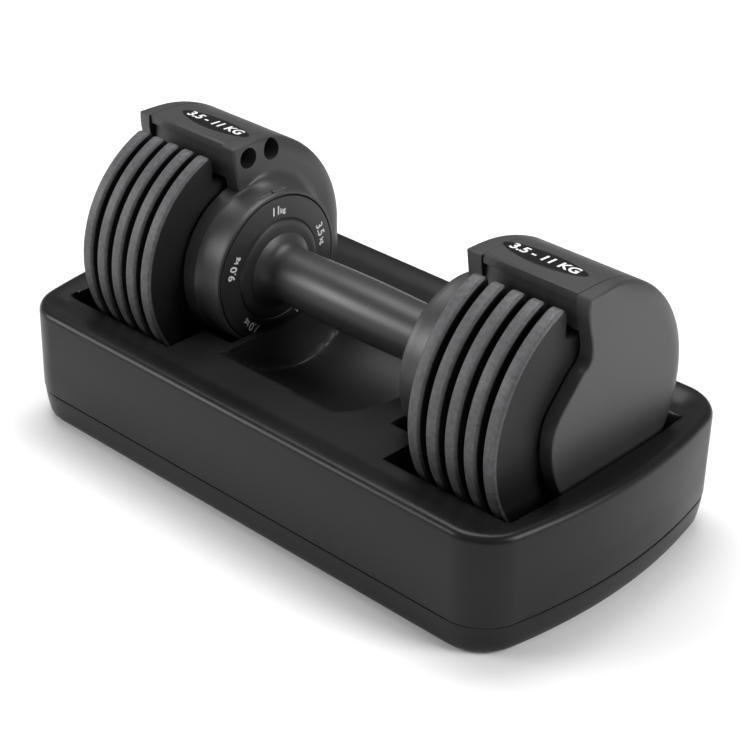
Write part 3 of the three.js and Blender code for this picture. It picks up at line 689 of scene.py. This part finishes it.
def make_collar(data):
    """The collar's ring. Its flare is wide behind the front leg and narrow beside the plates."""
    steps = 160
    lip = 0.7 * MM
    bore = DIAL_RADIUS + 0.5 * MM
    stations = [(bore, WALL_END - 0.5 * MM), (bore, MOUTH_X + 0.3 * MM), (bore + 0.3 * MM, MOUTH_X),
                (COLLAR_RADIUS - lip, MOUTH_X), (COLLAR_RADIUS - 0.3 * lip, MOUTH_X + 0.3 * lip),
                (COLLAR_RADIUS, MOUTH_X + lip)]
    ring = None
    first = None
    for radius, x in stations:
        places = [(x, y, AXIS_Z + z) for y, z in arc(0, 0, radius, 0, 360, steps)[:-1]]
        ring = grow(data, ring, places) if ring else ring_of(data, places)
        first = first or ring
    flare_start = MOUTH_X + 4 * MM
    for i in range(15):
        x = flare_start + (WALL_X + 0.4 * MM - flare_start) * i / 14
        along = i / 14
        places = []
        for k in range(steps):
            angle = 360 * k / steps
            turn = (angle + 180) % 360 - 180
            wide = eased(-102, -78, -turn) * eased(-75, -45, turn)
            widest = LEG_RADIUS + (FLARE_RADIUS - LEG_RADIUS) * wide
            radius = COLLAR_RADIUS + (widest - COLLAR_RADIUS) * (1 - sqrt(1 - along * along * 0.9999))
            places.append((x, radius * cos(radians(angle)), AXIS_Z + radius * sin(radians(angle))))
        ring = grow(data, ring, places)
    ring = grow(data, ring, [v.co + Vector((WALL_END - 0.5 * MM - v.co.x, 0, 0)) for v in ring])
    edges = [data.edges.get((loop[i - 1], loop[i])) for loop in (first, ring) for i in range(steps)]
    bmesh.ops.bridge_loops(data, edges=edges)


def shell_section():
    outer = crown_arc(SHELL_BACK_ANGLE + 0.9, SHELL_FRONT_ANGLE - 0.9, 90)
    inner = arc(0, 0, HOUSING_RADIUS - SHELL_THICKNESS, SHELL_FRONT_ANGLE - 0.3, SHELL_BACK_ANGLE + 0.3, 90)
    return outer + inner


def beam_section():
    bottom, top = 51 * MM, 71.5 * MM
    front, rear = -13.4 * MM, 26 * MM
    top_rear = sqrt((HOUSING_RADIUS - MM) ** 2 - rear ** 2)
    return [(front, bottom + MM), (front, top - MM), (front + MM, top), (rear - MM, top_rear),
            (rear, top_rear - MM), (rear, bottom + MM), (rear - MM, bottom), (front + MM, bottom)]


def cylinder_between(data, start_x, end_x, radius, y=0, z=0, steps=48):
    """A closed cylinder along X."""
    ring = ring_of(data, [(start_x, y + b, AXIS_Z + z + c) for b, c in arc(0, 0, radius, 0, 360, steps)[:-1]])
    data.faces.new(ring)
    ring = grow(data, ring, [v.co + Vector((end_x - start_x, 0, 0)) for v in ring])
    data.faces.new(ring)


def carved(data, tools):
    """The body less the tools, both closed meshes whose own parts may overlap."""
    bmesh.ops.recalc_face_normals(data, faces=data.faces)
    bmesh.ops.recalc_face_normals(tools, faces=tools.faces)
    body = new_object("body", data, None)
    cutter = new_object("cutter", tools, None)
    boolean = body.modifiers.new("carve", "BOOLEAN")
    boolean.object = cutter
    boolean.solver = "EXACT"
    boolean.use_self = True
    bpy.context.view_layer.update()
    mesh = bpy.data.meshes.new_from_object(body.evaluated_get(bpy.context.evaluated_depsgraph_get()))
    result = bmesh.new()
    result.from_mesh(mesh)
    for spare in (body, cutter):
        spare_mesh = spare.data
        bpy.data.objects.remove(spare)
        bpy.data.meshes.remove(spare_mesh)
    bpy.data.meshes.remove(mesh)
    bmesh.ops.remove_doubles(result, verts=result.verts, dist=2e-6)
    bmesh.ops.triangulate(result, faces=[f for f in result.faces if len(f.verts) > 4])
    return result


def pointer_recess(tools):
    """A shallow almond in the collar's top, with a small arrow notch that marks the setting."""
    made = bmesh.ops.create_uvsphere(tools, u_segments=48, v_segments=24, radius=1)
    for vertex in made["verts"]:
        x, y, z = vertex.co
        vertex.co = (74.4 * MM + x * 3.4 * MM, 2.5 * MM + y * 17 * MM,
                     AXIS_Z + 49.2 * MM + z * 4.6 * MM - y * y * 3 * MM)
    tip = [(-2.6, 72.6), (2.6, 72.6), (0, 76.4)]
    ring = ring_of(tools, [(x * MM, (y + 2.5) * MM, AXIS_Z + 43.8 * MM) for y, x in tip])
    tools.faces.new(ring)
    tools.faces.new(grow(tools, ring, [v.co + Vector((0, 0, 8 * MM)) for v in ring]))


def make_housing(side):
    data = bmesh.new()
    shouldered_slab(data, wall_outline(), (6 * MM, 10 * MM), WALL_X, WALL_END, 0)
    slab(data, shell_section(), WALL_END - 0.1 * MM, SEAM_X, [(0.3 * MM, 0), (0, 0.3 * MM)])
    slab(data, beam_section(), WALL_END - 4 * MM, SEAM_X - 0.1 * MM, [(0.4 * MM, 0), (0, 0.4 * MM)])
    tools = bmesh.new()
    cylinder_between(tools, WALL_X - 9 * MM, HUB_FLOOR_X, DIAL_RADIUS + 0.5 * MM, steps=160)
    for y, z in BOLT_WELLS:
        cylinder_between(tools, WALL_X - 5 * MM, BOLT_WELL_END, BOLT_WELL_RADIUS, y, z)
        cylinder_between(tools, WALL_X - 5 * MM, SEAM_X + 5 * MM, 2.8 * MM, y, z, 24)
    data = carved(data, tools)
    make_collar(data)
    cylinder_between(data, 82 * MM, HUB_FLOOR_X + MM, 18 * MM)
    tools = bmesh.new()
    cylinder_between(tools, 80 * MM, 110 * MM, 11.3 * MM)
    cylinder_between(tools, 93 * MM, 110 * MM, 14 * MM)
    if side == "left":
        pointer_recess(tools)
        lock_hole = Matrix.Translation((84 * MM, 0, AXIS_Z - 45 * MM))
        bmesh.ops.create_cone(tools, cap_ends=True, segments=24, radius1=2.5 * MM, radius2=2.5 * MM,
                              depth=26 * MM, matrix=lock_hole)
    data = carved(data, tools)
    bmesh.ops.recalc_face_normals(data, faces=data.faces)
    return data


def mirrored(data):
    bmesh.ops.scale(data, vec=(-1, 1, 1), verts=data.verts)
    bmesh.ops.reverse_faces(data, faces=data.faces)
    return data


def on_both_heads(name, make, material, body, node):
    """The piece made for the right head and mirrored for the left, each standing for its CAD node."""
    for side in ("right", "left"):
        data = make(side)
        piece = new_object(f"{side}_{name}", mirrored(data) if side == "left" else data, material)
        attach(piece, body)
        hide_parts(f"{side}_{node}")


housing_plastic = moulded_plastic("housing_plastic", (0.030, 0.030, 0.031), (0.036, 0.036, 0.037),
                                  (0.38, 0.46), grain_scale=1100, bump_strength=0.3)
on_both_heads("housing_moulding", make_housing, housing_plastic, "dumbbell_frame",
              "housing")
refinish(bright_steel, "core_tube", "lock_spring", "detent_spring", "detent_ball")
refinish(blackened_steel, "lock_pin")
for side in ("left", "right"):
    refinish(bright_steel, f"{side}_tie_bolt_front", f"{side}_tie_bolt_back", f"{side}_selector_rod")
    refinish(blackened_steel, f"{side}_core_clip", f"{side}_core_nut", f"{side}_follower_pin")
    refinish(white_nylon, f"{side}_rod_bush", f"{side}_cam_sleeve")


# ---- End caps ----
# A domed cover a side, drawn up to the housing by the tie bolts. Its front edge is S-shaped, so that the
# outermost plate shows, and its back follows the housing round.
CAP_OUTER_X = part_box("right_end_cap")[1].x
CAP_FRONT = [(-17.3, 72.6), (-17.2, 66), (-15.7, 58), (-13.6, 51), (-12.2, 46), (-11.6, 41.5),
             (-12.2, 37.5), (-14.8, 34), (-18.9, 31), (-24, 25.2), (-30.2, 18.5), (-35, 12.5), (-37.6, 6.5),
             (-38.6, -1), (-38.2, -9), (-36.3, -17.5), (-33.2, -25.5), (-28.5, -34), (-22.5, -42.5),
             (-15.5, -50.5), (-7, -58), (2, -65), (10.5, -70.5)]


def smooth_through(points, steps):
    """A smooth curve through the points, with that many steps between each two."""
    result = []
    for i in range(len(points) - 1):
        a = Vector(points[max(i - 1, 0)])
        b = Vector(points[i])
        c = Vector(points[i + 1])
        d = Vector(points[min(i + 2, len(points) - 1)])
        for k in range(steps):
            t = k / steps
            result.append(0.5 * (2 * b + (c - a) * t + (2 * a - 5 * b + 4 * c - d) * t * t
                                 + (3 * b - a - 3 * c + d) * t * t * t))
    result.append(Vector(points[-1]))
    return result


def cap_outline():
    front = [(p.x * MM, p.y * MM) for p in smooth_through(CAP_FRONT, 5)]
    end_angle = degrees(atan2(front[-1][1], front[-1][0]))
    return front + crown_arc(end_angle + 1.5, SHELL_FRONT_ANGLE - 0.7, 150)


def make_cap(side):
    data = bmesh.new()
    shouldered_slab(data, cap_outline(), (20 * MM, 6 * MM), CAP_OUTER_X, SEAM_X + 0.3 * MM, -25)
    tools = bmesh.new()
    cylinder_between(tools, SEAM_X - 5 * MM, CAP_OUTER_X - 2 * MM, 11.3 * MM)
    for y, z in BOLT_WELLS:
        cylinder_between(tools, SEAM_X - 5 * MM, CAP_OUTER_X - 1.5 * MM, 2.8 * MM, y, z, 24)
    data = carved(data, tools)
    bmesh.ops.recalc_face_normals(data, faces=data.faces)
    return data


on_both_heads("end_cover", make_cap, housing_plastic, "dumbbell_frame", "end_cap")


# ---- Badges ----
# A gloss black almond let into the top of each bridge, printed in white with the weight range.
badge_low, badge_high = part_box("right_badge")
BADGE_STEPS = 96


def on_crown(x, y, lift):
    """A point above the bridge's crowned top."""
    angle = degrees(acos(y / HOUSING_RADIUS))
    return Vector((x, y, AXIS_Z + crown(angle) * sin(radians(angle)) + lift))


def make_badge(side):
    data = bmesh.new()
    middle_x = (badge_low.x + badge_high.x) / 2
    middle_y = (badge_low.y + badge_high.y) / 2
    half_length = (badge_high.x - badge_low.x) / 2
    half_width = (badge_high.y - badge_low.y) / 2
    ring = None
    for share, lift in ((0.1, 0.2), (0.55, 0.2), (0.9, 0.2), (0.97, 0.17), (1, 0.06), (1, -0.5)):
        places = []
        for i in range(BADGE_STEPS):
            angle = 2 * pi * i / BADGE_STEPS
            tip = abs(cos(angle)) ** 1.5
            x = middle_x + half_length * share * cos(angle)
            y = middle_y + half_width * share * sin(angle) * (1 - 0.16 * tip)
            places.append(on_crown(x, y, lift * MM))
        ring = grow(data, ring, places) if ring else ring_of(data, places)
        if share == 0.1:
            data.faces.new(ring)
    data.faces.new(ring)
    bmesh.ops.recalc_face_normals(data, faces=data.faces)
    return data


badge_gloss = moulded_plastic("badge_gloss", (0.004, 0.004, 0.004), (0.006, 0.006, 0.006), (0.34, 0.40),
                              bump_strength=0.05)
badge_gloss.node_tree.nodes["Principled BSDF"].inputs["Specular IOR Level"].default_value = 0.15
on_both_heads("badge_plate", make_badge, badge_gloss, "dumbbell_frame", "badge")


def lettering(words, size, bold, place):
    """Print: words as a thin mesh, set out from their middle and carried into place by a function."""
    curve_data = bpy.data.curves.new("lettering", "FONT")
    curve_data.body = words
    curve_data.size = size
    curve_data.offset = bold
    curve_data.extrude = 0.05 * MM
    curve_data.resolution_u = 6
    curve_data.align_x = "CENTER"
    curve_data.align_y = "CENTER"
    sample = bpy.data.objects.new("lettering", curve_data)
    bpy.context.scene.collection.objects.link(sample)
    bpy.context.view_layer.update()
    mesh = bpy.data.meshes.new_from_object(sample.evaluated_get(bpy.context.evaluated_depsgraph_get()))
    data = bmesh.new()
    data.from_mesh(mesh)
    bpy.data.objects.remove(sample)
    bpy.data.meshes.remove(mesh)
    bmesh.ops.remove_doubles(data, verts=data.verts, dist=1e-7)
    for vertex in data.verts:
        vertex.co = place(vertex.co)
    bmesh.ops.recalc_face_normals(data, faces=data.faces)
    return data


white_print = plain_finish("white_print", (0.80, 0.80, 0.79), (0.4, 0.5), grain_scale=2000,
                           bump_strength=0.05)
for side, sign in (("left", -1), ("right", 1)):
    middle_x = sign * (badge_low.x + badge_high.x) / 2
    middle_y = (badge_low.y + badge_high.y) / 2
    data = lettering("3.5 - 11 KG", 9.2 * MM, 0.24 * MM,
                     lambda p: on_crown(middle_x + p.x, middle_y + p.y, 0.24 * MM + p.z))
    words = new_object(f"{side}_badge_print", data, white_print, smooth=False)
    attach(words, "dumbbell_frame")


# ---- Dials ----
# A disc a side that turns with the grip inside the collar: a raised middle, a shallow face and a drum
# behind it with five notches for the lock pin. The left one is printed with the five weights.
FACE_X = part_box("right_dial")[0].x
DIAL_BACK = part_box("right_dial")[1].x
FACE_STEP_RADIUS = 30 * MM
LOCK_NOTCH_SIZE = (5 * MM, 5.4 * MM, 8 * MM)
LOCK_NOTCH_PLACE = (76 * MM, 0, -33 * MM)
WEIGHTS = ["11", "9.0", "7.0", "5.5", "3.5"]


def dial_profile():
    hub = 14.6 * MM
    return [(hub, FACE_X + 0.3 * MM), (FACE_STEP_RADIUS - 4 * MM, FACE_X),
            (FACE_STEP_RADIUS - 1.2 * MM, FACE_X + 0.25 * MM),
            (FACE_STEP_RADIUS - 0.35 * MM, FACE_X + 0.7 * MM), (FACE_STEP_RADIUS, FACE_X + 1.5 * MM),
            (FACE_STEP_RADIUS + 0.5 * MM, FACE_X + 2.3 * MM),
            (FACE_STEP_RADIUS + 1.1 * MM, FACE_X + 1.9 * MM),
            (DIAL_RADIUS - 1.2 * MM, FACE_X + 2.4 * MM), (DIAL_RADIUS - 0.4 * MM, FACE_X + 2.65 * MM),
            (DIAL_RADIUS, FACE_X + 3.3 * MM), (DIAL_RADIUS, FACE_X + 4.5 * MM), (40 * MM, FACE_X + 4.6 * MM),
            (40 * MM, DIAL_BACK), (33 * MM, DIAL_BACK), (33 * MM, FACE_X + 5 * MM), (hub, FACE_X + 5 * MM)]


def make_dial(side):
    data = bmesh.new()
    spun(data, dial_profile(), 144)
    tools = bmesh.new()
    for number in range(len(WEIGHTS)):
        notch = bmesh.ops.create_cube(tools, size=1)["verts"]
        bmesh.ops.scale(tools, vec=LOCK_NOTCH_SIZE, verts=notch)
        bmesh.ops.translate(tools, vec=LOCK_NOTCH_PLACE, verts=notch)
        turn = Matrix.Rotation(radians(72 * number), 3, "X")
        bmesh.ops.rotate(tools, cent=(0, 0, 0), matrix=turn, verts=notch)
        bmesh.ops.translate(tools, vec=(0, 0, AXIS_Z), verts=notch)
    data = carved(data, tools)
    bmesh.ops.recalc_face_normals(data, faces=data.faces)
    return data


dial_plastic = moulded_plastic("dial_plastic", (0.018, 0.018, 0.019), (0.023, 0.023, 0.024), (0.42, 0.50),
                               grain_scale=1100, bump_strength=0.3)
on_both_heads("dial_disc", make_dial, dial_plastic, "handle", "dial")

LABEL_RADIUS = 36.5 * MM
for number, weight in enumerate(WEIGHTS):
    middle = radians(90 + 72 * number)

    def around(p, shift, middle=middle):
        """Carries print to its place round the dial, upright where it stands at the top."""
        across = p.x + shift
        out = LABEL_RADIUS + p.y
        y = out * cos(middle) + across * sin(middle)
        z = out * sin(middle) - across * cos(middle)
        return Vector((0.1 * MM - FACE_X - 2.15 * MM + p.z, y, AXIS_Z + z))

    big_shift = (-1.6 if weight == "11" else -2.6) * MM
    small_shift = (3.7 if weight == "11" else 5.3) * MM
    number_data = lettering(weight, 7.2 * MM, 0.13 * MM, lambda p: around(p, big_shift))
    base_line = Vector((0, -0.8 * MM, 0))
    unit_data = lettering("kg", 4.6 * MM, 0.09 * MM, lambda p: around(p + base_line, small_shift))
    for label, label_data in (("weight", number_data), ("unit", unit_data)):
        words = new_object(f"dial_{label}_{number + 1}", label_data, white_print, smooth=False)
        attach(words, "handle")


# ---- Grip ----
# A slightly barrelled sleeve with a satin finish, which turns both dials and the cam sleeves inside it.
GRIP_RADIUS = 16.5 * MM
GRIP_SWELL = 1 * MM
GRIP_FILLET = 9 * MM
GRIP_BORE = 14.5 * MM
grip_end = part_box("handle_grip")[1].x


def make_grip():
    steps = 60
    outer = []
    for i in range(steps + 1):
        x = -grip_end + 2 * grip_end * i / steps
        swell = GRIP_SWELL * cos(pi / 2 * x / grip_end) ** 2
        flare = max(0, 1 - (grip_end - abs(x)) / GRIP_FILLET)
        outer.append((GRIP_RADIUS + swell + GRIP_FILLET * 0.8 * (1 - sqrt(1 - flare * flare * 0.98)), x))
    data = bmesh.new()
    spun(data, [(GRIP_BORE, -grip_end), *outer, (GRIP_BORE, grip_end)], 96)
    bmesh.ops.recalc_face_normals(data, faces=data.faces)
    return data


grip_satin = moulded_plastic("grip_satin", (0.026, 0.026, 0.028), (0.032, 0.032, 0.034), (0.36, 0.44),
                             grain_scale=1500, bump_strength=0.2)
grip = new_object("grip_sleeve", make_grip(), grip_satin)
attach(grip, "handle")
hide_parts("handle_grip")
